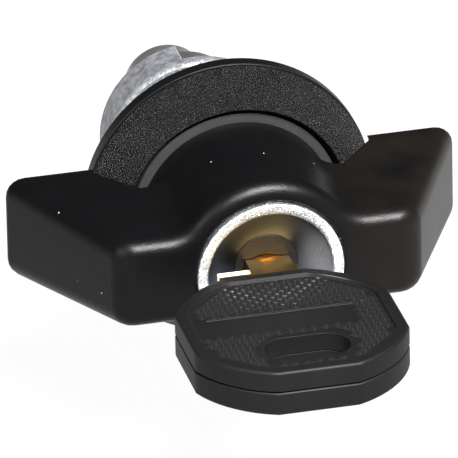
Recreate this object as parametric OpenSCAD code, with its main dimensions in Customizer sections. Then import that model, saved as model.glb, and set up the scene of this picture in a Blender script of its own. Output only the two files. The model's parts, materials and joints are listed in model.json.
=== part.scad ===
// Wing-handle cam lock with a keyed quarter-turn cylinder.
// X runs along the wings and Z is up. The lock axis is Y: the key side is -Y and the cam side is +Y.
// The origin is on the lock axis, in the plane of the panel's front face.
// Angles written as "clock" run clockwise from the top, seen from the key side.

/* [Wing handle] */
// Width across the wings at the back
handle_w = 57.2; // [48:0.5:72]
// Width across the wings at the front face
handle_front_w = 37; // [32:0.5:46]
// Height of the wings at the back
wing_back_h = 13.4; // [10:0.1:16]
// Height of the wings at the front face
wing_front_h = 11.4; // [8:0.1:14]
// Distance from the panel to the handle's front face
handle_reach = 22.7; // [19:0.1:30]
// Air between the panel and the wings
handle_air = 1.8; // [0.8:0.1:3]
// Radius of the round boss at the front face
boss_r = 11.6; // [10.6:0.1:14]
// Radius of the hub where it meets the rosette
hub_r = 12.1; // [11:0.1:14.5]
// Radius of the hollow flare between boss and wing
flare_r = 5; // [2:0.5:8]
// Bevel along the wings' upright corners
corner_bevel = 1.2; // [0.4:0.1:2]
// Wall round the hollows in the backs of the wings
wing_wall = 2; // [1.2:0.1:3]
// Depth of the hollows in the backs of the wings
wing_hollow = 9.5; // [5:0.5:14]

/* [Rosette] */
// Radius of the rosette
rosette_r = 18; // [16.5:0.1:24]
// Thickness of the rosette's plain rim
rosette_rim = 1.6; // [1:0.1:3]
// Radius of the lip at the top of the rosette's cone
lip_r = 13.9; // [13.6:0.1:16]
// Distance from the panel to the lip
lip_h = 6.4; // [6:0.1:9]
// Gap between the rosette's cone and the wings
cone_air = 2.4; // [1:0.1:4]

/* [Housing] */
// Outer radius of the housing
housing_r = 11.35; // [10.5:0.05:12.2]
// Length of the housing behind the panel
housing_len = 19.5; // [17:0.5:40]
// Length of thread for the fixing nut
thread_len = 12.8; // [11:0.2:14]
// Length of the groove where the thread ends
runout_len = 1.2; // [0.6:0.1:1.6]
// Depth of that groove
runout_depth = 0.6; // [0.3:0.1:1]
// Radius of the housing's front flange
flange_r = 13.2; // [12.6:0.1:14]
// Thickness of the housing's front flange
flange_t = 1.8; // [1.2:0.1:3]
// Depth of the stop notch in the housing's rear rim
notch_depth = 4.2; // [3:0.1:6]
// Clock angle where the stop notch starts
notch_start = 6; // [0:1:20]
// Distance from the panel to the retaining dowel
dowel_y = 10.9; // [10:0.1:11.4]
// Radius of the retaining dowel
dowel_r = 2.45; // [1.5:0.05:2.6]
// Depth of the dowel's end under the housing's surface
dowel_sunk = 0.5; // [0.2:0.1:1.5]

/* [Cylinder and key] */
// Radius of the chrome cap
cap_r = 9.1; // [8.8:0.05:9.6]
// Height of the cap above the handle's front face
cap_proud = 0.5; // [0.2:0.1:1]
// Radius of the cylinder barrel
barrel_r = 7.4; // [7:0.05:7.6]
// Radius of the plug
plug_r = 5; // [4.9:0.05:5.2]
// Length of the plug behind the cap
plug_len = 19.45; // [16:0.1:21]
// Width of the key's blade
blade_w = 5.4; // [4.6:0.1:6.6]
// Thickness of the key's blade
blade_t = 1.9; // [1.4:0.1:2.2]
// Distance between wafers
wafer_pitch = 2.6; // [2.5:0.1:2.8]
// Width of the key's bow
bow_w = 26.3; // [22:0.1:30]
// Length of the key's bow
bow_len = 26.4; // [22:0.1:30]
// Radius of the arcs between the bow's straight sides
bow_r = 14.1; // [14:0.1:17]
// Distance from the cap to the bow
bow_gap = 4.6; // [3:0.1:10]
// Sideways offset of the bow from the blade
bow_shift = -1.9; // [-3:0.1:0]
// Width of the key's neck between bow and cap
neck_w = 9.8; // [8:0.1:11]
// Thickness of the bow's upper shell
upper_t = 2.6; // [2:0.1:4]
// Thickness of the bow's lower shell
lower_t = 3.1; // [2:0.1:4]
// Length of the key-ring slot
slot_len = 10.6; // [7:0.1:12]
// Width of the key-ring slot
slot_w = 6; // [4.6:0.1:6]

/* [Locking and turning] */
// Quarter turn of the handle
handle_turn = 90; // [60:5:90]
// Eccentricity of the plug's crank pin
crank_e = 1.3; // [1:0.05:1.5]
// Radius of the crank pin
crank_r = 0.9; // [0.7:0.05:1]

/* [Cam end] */
// Across-flats size of the spindle's square
square_w = 8; // [7:0.1:8.6]
// Distance from the lock axis to the cam's tip
cam_reach = 28; // [22:1:60]
// Width of the cam
cam_w = 16; // [14:0.5:20]
// Thickness of the cam
cam_t = 3; // [2:0.1:4]
// Radius of the cam screw's shank
screw_r = 2.95; // [2:0.05:3]
// Radius of the cam screw's head
screw_head_r = 5.2; // [4.5:0.1:6]
// Height of the cam screw's head
screw_head_h = 6; // [4:0.1:8]

/* [Panel fixing] */
// Thickness of the panel that the lock clamps
panel_t = 1.5; // [0.8:0.1:3]
// Thickness of the toothed washer
nut_washer_t = 1; // [0.6:0.1:1.6]
// Across-flats size of the fixing nut
nut_af = 26; // [25:0.5:30]
// Thickness of the fixing nut
nut_t = 3; // [2.5:0.1:4]

/* [Hidden] */
$fn = 96;
fit = 0.05;    // radial clearance of a running fit
play = 0.1;    // clearance between flat faces that slide on each other
loose = 0.3;   // clearance round something that must never touch
over = 1;      // how far a cutter runs past the face that it cuts
far = 60;      // longer than any piece

// Along the lock axis: front faces are negative
front_y = -handle_reach;
cap_y = front_y - cap_proud;
wing_back_y = -handle_air;
web_y = -2;                              // front face of the rosette's web
flange_y = web_y - flange_t;             // front face of the housing's flange
ring_t = 1.6;                            // thickness of the friction ring
ring_y = flange_y - play - ring_t;       // front face of the friction ring
hub_y = ring_y - play;                   // rear face of the handle's hub
cap_depth = 1.6;                         // length of the cap's skirt
cap_wall = 0.55;                         // thickness of the cap's sheet
cap_edge = 0.3;                          // bevel round the cap's rim
dish_depth = 2.6;                        // depth of the cap's dish
dish_r = cap_r - 1.2;                    // radius where the dish starts
nose_r = 3.9;                            // radius of the plug's nose in the cap
dish_y = cap_y + dish_depth;
plug_y = dish_y + cap_wall + play;       // front face of the plug's full diameter
plug_end_y = plug_y + plug_len;
barrel_flange_r = cap_r - cap_wall;
barrel_seat_y = cap_y + 2.3;             // rear face of the barrel's flange

// Inside the housing
bearing_y = 6.2;                         // where the wide front bore ends
cup_r = 8.42;                            // outer radius of the spindle's cup
front_bore_r = cup_r + 0.08;
bearing_r = 6.45;                        // radius of the spindle's bearing
cup_floor_y = 5;
cup_front_y = flange_y + 0.4;
neck_end_y = cup_front_y - play;         // rear end of the handle's neck
crank_web_y = plug_end_y + fit;          // front face of the barrel's web
bolt_y = 1;                              // front face of the locking bolt's chamber
barrel_end_y = cup_floor_y - play;
crank_throw = crank_e * sin(45);
bolt_travel = 2 * crank_throw;
bolt_w = 4;
bolt_head_w = 6.4;
bolt_foot_z = -3 * crank_throw;          // lowest point of the bolt's wide head
crank_journal_r = crank_e + crank_r + loose;
bolt_end_z = -sqrt(pow(cup_r - fit, 2) - pow(bolt_w / 2, 2));
barrel_flat = barrel_r - 0.6;            // distance from the axis to the barrel's flats
set_screw_r = 1.5;
set_screw_y = -2;
set_screw_in_r = plug_r + 0.6;           // the set screws reach into the barrel, clear of the plug
groove_r = 5;                            // bottom radius of the spindle's dowel groove
seal_in_r = flange_r + loose;            // the seal between rosette and panel
seal_out_r = rosette_r - 1.6;
seal_t = 0.95;
oring_y = 16.6;
oring_r = 0.75;

// Behind the housing
washer_gap = 0.1;
stop_t = 1.5;
stop_y = housing_len + washer_gap;
cam_y = stop_y + stop_t + fit;
flat_washer_t = 1.2;
spring_washer_t = 1.4;
flat_washer_y = cam_y + cam_t;
spring_washer_y = flat_washer_y + flat_washer_t;
screw_y = spring_washer_y + spring_washer_t;
screw_len = 14;
square_end_y = flat_washer_y - 0.2;
stop_tab = 24;                           // angle that the stop tab spans
stop_play = 1;
notch_end = notch_start + handle_turn + stop_tab + 2 * stop_play;

// Key
key_edge_y = cap_y - bow_gap;            // edge of the bow that faces the lock
bow_y = key_edge_y - bow_len / 2;
slot_x = bow_shift + 0.2;
slot_y = bow_y - 6.6;
shoulder_y = cap_y - 0.25;               // end of the neck, just in front of the cap
blade_end_y = plug_end_y - 1;
keyway_fit = 0.1;
mouth_half_w = blade_w / 2 + 0.2;        // the keyway's mouth in the plug's nose
mouth_half_h = blade_t / 2 + 0.65;
mouth_bevel = 0.35;
mouth_depth = 0.9;
bow_border = 1.5;                        // width of the bow's raised border
bow_sunk = 0.4;                          // depth of the face inside the border
bow_bevel = 0.6;
bow_seam = 0.15;                         // shadow gap between the bow's two shells
peg_r = 1.1;                             // the lower shell's pegs, through the blade's tang
peg_x = 4.2;
peg_y = key_edge_y - 9;
peg_end_z = upper_t - 0.9;
tang_w = 13;
tang_len = 12.5;
tang_end_y = key_edge_y - 0.6;
first_wafer_y = plug_y + 1.6;
wafer_count = 5;
wafer_t = 1;
wafer_h = 6;
wafer_y = [for (i = [0:wafer_count - 1]) first_wafer_y + i * wafer_pitch];
bitting = [0.5, 0.9, 0.4, 0.8, 0.6];
spring_half = 1.6;                       // half of a wafer spring's length
lug_x = spring_half + fit;               // the wafer's lug that the spring pushes on
lug_w = 0.8;
spring_z = 3.65;
spring_r = 0.65;
spring_wire = 0.25;

// ---- Helpers ----

// Turns a shape whose axis is Z so that it lies along the lock axis, upwards becoming backwards.
module along_lock() {
    rotate([-90, 0, 0]) children();
}

module rod(r, y0, y1) {
    along_lock() translate([0, 0, y0]) cylinder(r = r, h = y1 - y0);
}

module tube(r_out, r_in, y0, y1) {
    difference() {
        rod(r_out, y0, y1);
        rod(r_in, y0 - over, y1 + over);
    }
}

// A solid of revolution about the lock axis, from points [radius, y].
module turned(points) {
    along_lock() rotate_extrude() polygon(points);
}

// A box from its lowest to its highest corner.
module block(low, high) {
    translate(low) cube(high - low);
}

// A sector about the lock axis between two clock angles.
module sector(a0, a1, r, y0, y1) {
    steps = 5;
    reach = r / cos((a1 - a0) / steps / 2);
    rim = [for (i = [0:steps]) let (a = a0 + (a1 - a0) * i / steps) reach * [sin(a), -cos(a)]];
    along_lock() translate([0, 0, y0]) linear_extrude(y1 - y0) polygon(concat([[0, 0]], rim));
}

module square_prism(w, y0, y1) {
    block([-w / 2, y0, -w / 2], [w / 2, y1, w / 2]);
}

// ---- Pieces fixed to the panel ----

module rosette() {
    bore_r = housing_r + play;
    recess_r = flange_r + play;
    color("#1b1b1c") difference() {
        turned([
            [bore_r, 0], [rosette_r, 0], [rosette_r, -rosette_rim], [lip_r, -lip_h],
            [recess_r, -lip_h], [recess_r, web_y], [bore_r, web_y]
        ]);
        seal_groove();
    }
}

module seal_groove() {
    tube(seal_out_r + fit, seal_in_r - fit, -seal_t - fit, over);
}

module panel_seal() {
    color("#101010") tube(seal_out_r, seal_in_r, -seal_t, 0);
}

module housing() {
    slope = runout_depth / 2;
    runout_end = thread_len + runout_len;
    rim_chamfer = 0.5;
    color("#8f9296") difference() {
        turned([
            [0, flange_y], [flange_r, flange_y], [flange_r, web_y], [housing_r, web_y],
            [housing_r, thread_len], [housing_r - runout_depth, thread_len + slope],
            [housing_r - runout_depth, runout_end - slope], [housing_r, runout_end],
            [housing_r, housing_len - rim_chamfer], [housing_r - rim_chamfer, housing_len], [0, housing_len]
        ]);
        rod(front_bore_r, flange_y - over, bearing_y);
        rod(bearing_r + fit, 0, housing_len + over);
        stop_notch();
        translate([0, dowel_y, 0]) cylinder(r = dowel_r + fit, h = far);
        bolt_pocket(180);
        bolt_pocket(180 - handle_turn);
    }
}

// The notch that the stop tab swings in.
module stop_notch() {
    sector(notch_start, notch_end, 2 * housing_r, housing_len - notch_depth, housing_len + over);
}

// A pocket in the front bore for the locking bolt's end.
module bolt_pocket(clock) {
    half = bolt_w / 2 + loose;
    deep = -bolt_end_z + bolt_travel + loose;
    rotate([0, clock, 0]) block([-half, bolt_y - play, 0], [half, cup_floor_y + play, deep]);
}

module friction_ring() {
    color("#141414") tube(flange_r - play, cup_r + play, ring_y, ring_y + ring_t);
}

module retaining_dowel() {
    tip = 0.4;
    color("#a9adb1") translate([0, dowel_y, groove_r + play]) {
        length = housing_r - dowel_sunk - groove_r - play;
        cylinder(r = dowel_r, h = length - tip);
        translate([0, 0, length - tip]) cylinder(r1 = dowel_r, r2 = dowel_r - tip, h = tip);
    }
}

module toothed_washer() {
    teeth = 16;
    slit = 1.2;
    out_r = housing_r + 2.8;
    color("#b9bcc0") difference() {
        tube(out_r, housing_r + fit, panel_t, panel_t + nut_washer_t);
        for (i = [0:teeth - 1]) rotate([0, i * 360 / teeth, 0])
            block([-slit / 2, 0, out_r - 1], [slit / 2, far, far]);
    }
}

module fixing_nut() {
    y0 = panel_t + nut_washer_t;
    bevel = 0.8;
    corner_r = nut_af / 2 / cos(30);
    color("#b4b7bb") difference() {
        intersection() {
            along_lock() translate([0, 0, y0]) cylinder(r = corner_r, h = nut_t, $fn = 6);
            turned([
                [0, y0], [nut_af / 2, y0], [corner_r, y0 + bevel], [corner_r, y0 + nut_t - bevel],
                [nut_af / 2, y0 + nut_t], [0, y0 + nut_t]
            ]);
        }
        rod(housing_r + fit, 0, far);
    }
}

// ---- Pieces that turn with the handle ----

module wing_handle() {
    color("#202021") difference() {
        union() {
            wings();
            hub();
            for (x = [0, 1], z = [0, 1]) mirror([x, 0, 0]) mirror([0, 0, z]) flare();
        }
        rosette_clearance();
        rod(cap_r + fit, -far, cap_y + cap_depth + fit);
        rod(barrel_flange_r + fit, -far, barrel_seat_y + fit);
        barrel_shape(fit, -far, 0);
        for (x = [0, 1], z = [0, 1]) mirror([x, 0, 0]) mirror([0, 0, z]) wing_pocket();
    }
}

// Half of the handle's width at a distance along the lock axis.
function wing_half(y) =
    handle_front_w / 2 + (handle_w - handle_front_w) / 2 * (y - front_y) / (wing_back_y - front_y);

module wings() {
    b = corner_bevel;
    slant = atan((handle_w - handle_front_w) / 2 / (wing_back_y - front_y));
    dx = b * sin(slant);
    dy = b * cos(slant);
    half_back = wing_half(wing_back_y);
    half_front = wing_half(front_y);
    right = [
        [half_front - b, front_y], [half_front + dx, front_y + dy],
        [half_back - dx, wing_back_y - dy], [half_back - b, wing_back_y]
    ];
    left = [for (i = [len(right) - 1:-1:0]) [-right[i][0], right[i][1]]];
    intersection() {
        translate([0, 0, -wing_back_h]) linear_extrude(2 * wing_back_h) polygon(concat(right, left));
        rotate([90, 0, 90]) translate([0, 0, -handle_w]) linear_extrude(2 * handle_w) polygon([
            [front_y, -wing_front_h / 2 + b / 2], [front_y + b / 2, -wing_front_h / 2],
            [wing_back_y, -wing_back_h / 2], [wing_back_y, wing_back_h / 2],
            [front_y + b / 2, wing_front_h / 2], [front_y, wing_front_h / 2 - b / 2]
        ]);
    }
}

module hub() {
    bevel = 0.6;
    neck_r = cup_r;
    turned([
        [0, front_y], [boss_r - bevel, front_y], [boss_r, front_y + bevel], [hub_r, hub_y],
        [neck_r, hub_y], [neck_r, neck_end_y], [0, neck_end_y]
    ]);
}

// The hollow fillet that runs from the round boss down to the wing's upper face.
module flare() {
    base = wing_front_h / 2 - 0.1;
    centre_z = base + flare_r;
    centre_x = sqrt(pow(boss_r + flare_r, 2) - pow(centre_z, 2));
    share = boss_r / (boss_r + flare_r);
    length = hub_y - front_y - 0.6;
    translate([0, hub_y, 0]) rotate([90, 0, 0]) linear_extrude(length) difference() {
        square([centre_x, centre_z * share]);
        translate([centre_x, centre_z]) circle(r = flare_r);
    }
}

// Room behind the wings for the rosette, with the hub left standing in it.
module rosette_clearance() {
    cone_r = lip_r + 0.3;
    floor_y = -lip_h - cone_air;
    edge_r = rosette_r + 0.5;
    edge_y = floor_y + (edge_r - cone_r) * (lip_h - rosette_rim) / (rosette_r - lip_r);
    neck_r = cup_r;
    turned([
        [0, over], [0, neck_end_y], [neck_r, neck_end_y], [neck_r, hub_y],
        [hub_r, hub_y], [hub_r + 0.001, floor_y], [cone_r, floor_y], [edge_r, edge_y], [edge_r, over]
    ]);
}

// One of the four hollows in the backs of the wings.
module wing_pocket() {
    rib = 1.4;
    bottom_y = wing_back_y - wing_hollow;
    in_x = rosette_r + 0.5 + wing_wall;
    top_z = wing_half_height(bottom_y) - wing_wall;
    translate([0, 0, rib / 2]) linear_extrude(top_z - rib / 2) polygon([
        [in_x, over], [wing_half(wing_back_y) - wing_wall, over],
        [wing_half(wing_back_y) - wing_wall, wing_back_y],
        [max(in_x + 0.5, wing_half(bottom_y) - wing_wall), bottom_y], [in_x, bottom_y]
    ]);
}

function wing_half_height(y) =
    wing_front_h / 2 + (wing_back_h - wing_front_h) / 2 * (y - front_y) / (wing_back_y - front_y);

// The barrel's outside: round, with a flat on each side that the handle's bore matches.
module barrel_shape(gap, y0, y1) {
    intersection() {
        rod(barrel_r + gap, y0, y1);
        block([-barrel_flat - gap, y0, -far], [barrel_flat + gap, y1, far]);
    }
}

module cylinder_barrel() {
    color("#a7a39a") difference() {
        union() {
            rod(barrel_flange_r - fit, cap_y, barrel_seat_y);
            barrel_shape(0, cap_y, neck_end_y);
            rod(barrel_r, neck_end_y, barrel_end_y);
        }
        cap_room();
        rod(plug_r + fit, -far, crank_web_y);
        rod(crank_journal_r + fit, -far, bolt_y + over);
        wafer_grooves();
        bolt_chamber();
        set_screw_holes(set_screw_in_r, barrel_r + over);
    }
}

// The space in front of the barrel's flange that the pressed cap fills.
module cap_room() {
    face_y = cap_y + cap_wall + cap_edge / 2 + fit;
    dish_back_y = dish_y + cap_wall + fit;
    turned([
        [0, cap_y - over], [cap_r, cap_y - over], [cap_r, face_y], [dish_r, face_y],
        [nose_r + cap_wall, dish_back_y], [0, dish_back_y]
    ]);
}

// Grooves that take the wafers' ends when the key is out, at both key positions.
module wafer_grooves() {
    half = wafer_h / 2 + play;
    reach = plug_r + 0.7;
    y0 = wafer_y[0] - wafer_t;
    y1 = wafer_y[wafer_count - 1] + wafer_t;
    block([-reach, y0, -half], [reach, y1, half]);
    block([-half, y0, -reach], [half, y1, reach]);
}

module bolt_chamber() {
    head = bolt_head_w / 2 + play;
    block([-head, bolt_y, bolt_foot_z - bolt_travel], [head, far, head + play]);
    block([-bolt_w / 2 - fit, bolt_y, -far], [bolt_w / 2 + fit, far, 0]);
}

module set_screw_holes(r0, r1) {
    for (side = [-1, 1]) translate([0, set_screw_y, 0]) rotate([0, side * 90, 0])
        translate([0, 0, r0]) cylinder(r = set_screw_r + fit, h = r1 - r0);
}

module barrel_set_screws() {
    end = cup_r - play;
    start = set_screw_in_r + play;
    socket = 0.85;
    socket_deep = 1.2;
    color("#55585c") for (side = [-1, 1]) translate([0, set_screw_y, 0]) rotate([0, side * 90, 0])
        difference() {
            translate([0, 0, start]) cylinder(r = set_screw_r, h = end - start);
            translate([0, 0, end - socket_deep]) cylinder(r = socket, h = far, $fn = 6);
        }
}

module chrome_cap() {
    hole_r = nose_r + fit;
    dish_back_y = dish_y + cap_wall;
    rim_back_y = cap_y + cap_wall;
    color("#d8dadd") turned([
        [cap_r, cap_y + cap_depth], [cap_r, cap_y + cap_edge], [cap_r - cap_edge, cap_y],
        [dish_r + cap_edge, cap_y], [dish_r, cap_y + cap_edge], [nose_r + cap_edge, dish_y], [hole_r, dish_y],
        [hole_r, dish_back_y], [nose_r + cap_wall, dish_back_y], [dish_r, rim_back_y + cap_edge / 2],
        [barrel_flange_r, rim_back_y], [barrel_flange_r, cap_y + cap_depth]
    ]);
}

module spindle() {
    square_start_y = housing_len - play;
    screw_hole_y = screw_y - screw_len - 0.5;
    groove_half = dowel_r + play + fit;
    oring_half = oring_r + play;
    corner_r = square_w * 0.66;
    color("#b7babd") difference() {
        union() {
            rod(cup_r, cup_front_y, bearing_y - play);
            rod(bearing_r, bearing_y - play, square_start_y);
            intersection() {
                square_prism(square_w, square_start_y, square_end_y);
                rod(corner_r, square_start_y, square_end_y);
            }
        }
        rod(barrel_r + fit, cup_front_y - over, cup_floor_y);
        rod(screw_r + fit, screw_hole_y, far);
        tube(bearing_r + over, groove_r, dowel_y - groove_half, dowel_y + groove_half);
        tube(bearing_r + over, bearing_r - 2 * oring_r, oring_y - oring_half, oring_y + oring_half);
        block([-bolt_w / 2 - fit, bolt_y, -far], [bolt_w / 2 + fit, cup_floor_y, 0]);
        set_screw_holes(barrel_r - over, cup_r + over);
    }
}

module spindle_o_ring() {
    color("#0d0d0d") along_lock() translate([0, 0, oring_y]) rotate_extrude()
        translate([bearing_r - oring_r, 0]) circle(r = oring_r - 0.02, $fn = 32);
}

// A square-holed washer with one tab bent forwards into the housing's notch.
module stop_washer() {
    washer_r = 8;
    tab_in = bearing_r + 2.2;
    tab_out = housing_r - 2 * loose;
    tab_start = notch_end - stop_play - stop_tab;
    tab_y = housing_len - notch_depth + 2 * loose;
    color("#9fa2a6") difference() {
        union() {
            rod(washer_r, stop_y, stop_y + stop_t);
            intersection() {
                rod(tab_out, tab_y, stop_y + stop_t);
                sector(tab_start, tab_start + stop_tab, far / 2, tab_y, stop_y + stop_t);
            }
        }
        rod(tab_in, 0, stop_y);
        square_prism(square_w + 2 * fit, 0, far);
    }
}

module cam() {
    end_z = cam_reach - cam_w / 2;
    color("#b9bcbf") difference() {
        union() {
            rod(cam_w / 2, cam_y, cam_y + cam_t);
            block([-cam_w / 2, cam_y, -end_z], [cam_w / 2, cam_y + cam_t, 0]);
            translate([0, 0, -end_z]) rod(cam_w / 2, cam_y, cam_y + cam_t);
        }
        square_prism(square_w + 2 * fit, 0, far);
    }
}

module cam_flat_washer() {
    color("#c3c6c9") tube(screw_head_r + 0.8, screw_r + play, flat_washer_y, flat_washer_y + flat_washer_t);
}

module cam_spring_washer() {
    slit = 0.8;
    color("#8d9094") difference() {
        tube(screw_head_r - loose, screw_r + play, spring_washer_y, spring_washer_y + spring_washer_t);
        rotate([0, 200, 0]) block([-slit / 2, 0, 0], [slit / 2, far, far]);
    }
}

module cam_screw() {
    socket_af = 5;
    socket_deep = 3;
    bevel = 0.4;
    head_end = screw_y + screw_head_h;
    shank_end = screw_y - screw_len;
    color("#c0c3c6") difference() {
        turned([
            [0, shank_end], [screw_r - bevel, shank_end], [screw_r, shank_end + bevel],
            [screw_r, screw_y], [screw_head_r, screw_y],
            [screw_head_r, head_end - bevel], [screw_head_r - bevel, head_end], [0, head_end]
        ]);
        along_lock() translate([0, 0, head_end - socket_deep])
            cylinder(r = socket_af / 2 / cos(30), h = far, $fn = 6);
    }
}

// ---- Pieces that turn with the key ----

module plug() {
    half_w = blade_w / 2 + keyway_fit;
    half_t = blade_t / 2 + keyway_fit;
    color("#b9954a") difference() {
        union() {
            rod(plug_r, plug_y, plug_end_y);
            rod(nose_r, dish_y - play, plug_y);
            rod(crank_journal_r, plug_end_y, bolt_y - fit);
            crank_pin();
        }
        block([-half_w, -far, -half_t], [half_w, blade_end_y + loose, half_t]);
        intersection() {
            mouth_cone(1);
            mouth_cone(-1);
        }
        for (y = wafer_y) {
            wafer_slot(y);
            spring_slot(y);
        }
    }
}

// Two of these overlap in a lens, the bevelled mouth that leads the blade into the keyway.
module mouth_cone(side) {
    r = (pow(mouth_half_w, 2) + pow(mouth_half_h, 2)) / (2 * mouth_half_h);
    y = dish_y - play;
    translate([0, 0, side * (r - mouth_half_h)]) turned([
        [0, y - over], [r + over, y - over], [r - mouth_bevel, y + mouth_bevel],
        [r - mouth_bevel, y + mouth_depth], [0, y + mouth_depth]
    ]);
}

module wafer_slot(y) {
    half_y = wafer_t / 2 + fit;
    half_z = wafer_h / 2 + fit;
    block([-far, y - half_y, -half_z], [far, y + half_y, half_z]);
}

module spring_slot(y) {
    half_y = spring_r + play;
    block([-spring_half - play, y - half_y, 0], [lug_x + lug_w + play, y + half_y, spring_z + half_y]);
}

module crank_pin() {
    translate([crank_throw, 0, crank_throw]) rod(crank_r, plug_end_y, barrel_end_y - loose);
}

module wafer(i) {
    y = wafer_y[i];
    half_w = blade_w / 2 + keyway_fit + fit;
    half_t = blade_t / 2 + keyway_fit + fit;
    color("#c9a65a") difference() {
        union() {
            intersection() {
                rod(plug_r - fit, y - wafer_t / 2, y + wafer_t / 2);
                block([-far, y - wafer_t, -wafer_h / 2], [far, y + wafer_t, wafer_h / 2]);
            }
            block([lug_x, y - wafer_t / 2, 2], [lug_x + lug_w, y + wafer_t / 2, spring_z + spring_r]);
        }
        block([-half_w, y - over, -half_t], [half_w, y + over, half_t]);
    }
}

module wafer_1() { wafer(0); }
module wafer_2() { wafer(1); }
module wafer_3() { wafer(2); }
module wafer_4() { wafer(3); }
module wafer_5() { wafer(4); }

module wafer_springs() {
    color("#a8abae") for (y = wafer_y) translate([-spring_half, y, spring_z]) rotate([0, 90, 0])
        difference() {
            cylinder(r = spring_r, h = 2 * spring_half, $fn = 32);
            translate([0, 0, -over]) cylinder(r = spring_r - spring_wire, h = far, $fn = 32);
        }
}

// The bolt that the crank pushes down into the housing. Its window takes the crank pin.
module locking_bolt() {
    head = bolt_head_w / 2;
    cheek = 0.7;
    window_z = crank_throw;
    color("#8c8f93") difference() {
        union() {
            block([-head, bolt_y + fit, bolt_foot_z + play], [head, barrel_end_y - fit, head]);
            block([-bolt_w / 2, bolt_y + fit, bolt_end_z], [bolt_w / 2, barrel_end_y - fit, 0]);
        }
        block([-head + cheek, 0, window_z - crank_r - play], [head - cheek, far, window_z + crank_r + play]);
    }
}

// ---- Key ----

module key_blade() {
    half_t = blade_t / 2;
    blade_half = blade_w / 2;
    tip = 1.6;
    color("#b99b5a") {
        difference() {
            translate([0, 0, -half_t]) linear_extrude(blade_t) difference() {
                union() {
                    polygon([
                        [-blade_half, shoulder_y - over], [blade_half, shoulder_y - over],
                        [blade_half, blade_end_y - tip], [blade_half - tip, blade_end_y],
                        [-blade_half + tip, blade_end_y], [-blade_half, blade_end_y - tip]
                    ]);
                    translate([bow_shift - neck_w / 2, key_edge_y - over])
                        square([neck_w, shoulder_y - key_edge_y + over]);
                    translate([bow_shift - tang_w / 2, tang_end_y - tang_len]) square([tang_w, tang_len]);
                }
                for (i = [0:wafer_count - 1], side = [-1, 1]) bit_cut(wafer_y[i], side, bitting[i]);
            }
            pegs(peg_r + play, -far, far);
        }
    }
}

// A cut with sloping sides in the blade's edge, as deep as its wafer asks.
module bit_cut(y, side, depth) {
    edge = side * blade_w / 2;
    half_mouth = 1;
    half_floor = 0.35;
    polygon([
        [edge + side, y - half_mouth], [edge, y - half_mouth], [edge - side * depth, y - half_floor],
        [edge - side * depth, y + half_floor], [edge, y + half_mouth], [edge + side, y + half_mouth]
    ]);
}

// The bow's outline: a disc with four straight sides, smaller all round by an inset.
module bow_outline(inset) {
    translate([bow_shift, bow_y]) intersection() {
        circle(r = bow_r - inset);
        square([bow_w - 2 * inset, bow_len - 2 * inset], center = true);
    }
}

module ring_slot() {
    straight = (slot_len - slot_w) / 2;
    translate([slot_x, slot_y]) {
        square([2 * straight, slot_w], center = true);
        for (side = [-1, 1]) translate([side * straight, 0]) circle(r = slot_w / 2);
    }
}

// Room for half of the blade's tang and neck.
module tang_room() {
    half_t = blade_t / 2 + fit;
    half_tang = tang_w / 2 + play;
    half_neck = neck_w / 2 + play;
    translate([bow_shift, 0, 0]) {
        block([-half_tang, tang_end_y - tang_len - play, -half_t], [half_tang, tang_end_y + play, half_t]);
        block([-half_neck, key_edge_y - over, -half_t], [half_neck, 0, half_t]);
    }
}

module pegs(r, z0, z1) {
    for (side = [-1, 1]) translate([bow_shift + side * peg_x, peg_y, z0]) cylinder(r = r, h = z1 - z0);
}

module key_bow_upper() {
    color("#232324") difference() {
        union() {
            linear_extrude(upper_t - bow_bevel) bow_outline(0);
            linear_extrude(upper_t) bow_outline(bow_bevel);
        }
        translate([0, 0, upper_t - bow_sunk]) linear_extrude(over) bow_outline(bow_border);
        translate([0, 0, -over]) linear_extrude(far) ring_slot();
        tang_room();
        pegs(peg_r + fit, -over, peg_end_z + fit);
    }
}

module key_bow_lower() {
    height = lower_t - bow_seam;
    color("#232324") {
        difference() {
            translate([0, 0, -lower_t]) {
                translate([0, 0, bow_bevel]) linear_extrude(height - bow_bevel) bow_outline(0);
                linear_extrude(height) bow_outline(bow_bevel);
            }
            translate([0, 0, -lower_t - over]) linear_extrude(over + bow_sunk) bow_outline(bow_border);
            translate([0, 0, -far]) linear_extrude(2 * far) ring_slot();
            tang_room();
        }
        pegs(peg_r, -blade_t / 2 - over / 4, peg_end_z);
    }
}

// ---- Nodes ----

rosette();
panel_seal();
housing();
friction_ring();
retaining_dowel();
toothed_washer();
fixing_nut();
wing_handle();
cylinder_barrel();
chrome_cap();
barrel_set_screws();
spindle();
spindle_o_ring();
stop_washer();
cam();
cam_flat_washer();
cam_spring_washer();
cam_screw();
plug();
wafer_1();
wafer_2();
wafer_3();
wafer_4();
wafer_5();
wafer_springs();
locking_bolt();
key_blade();
key_bow_upper();
key_bow_lower();
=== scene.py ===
# %% [markdown]
# # A wing-handle cam lock with its key
# A lock like this sits in the door of a steel cabinet. The black wing is the handle, the chrome cup in it
# takes the key, and the round rosette hides the hole in the door. The housing, nut, cam and screw are behind
# the door. The sizes come from the CAD frame, in metres, and this lesson gives the lock its finish.
# The lock axis is Y, with the key at -Y. X runs along the wings and Z is up.

import json
import math

import bmesh
import bpy
from mathutils import Matrix, Vector


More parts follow.
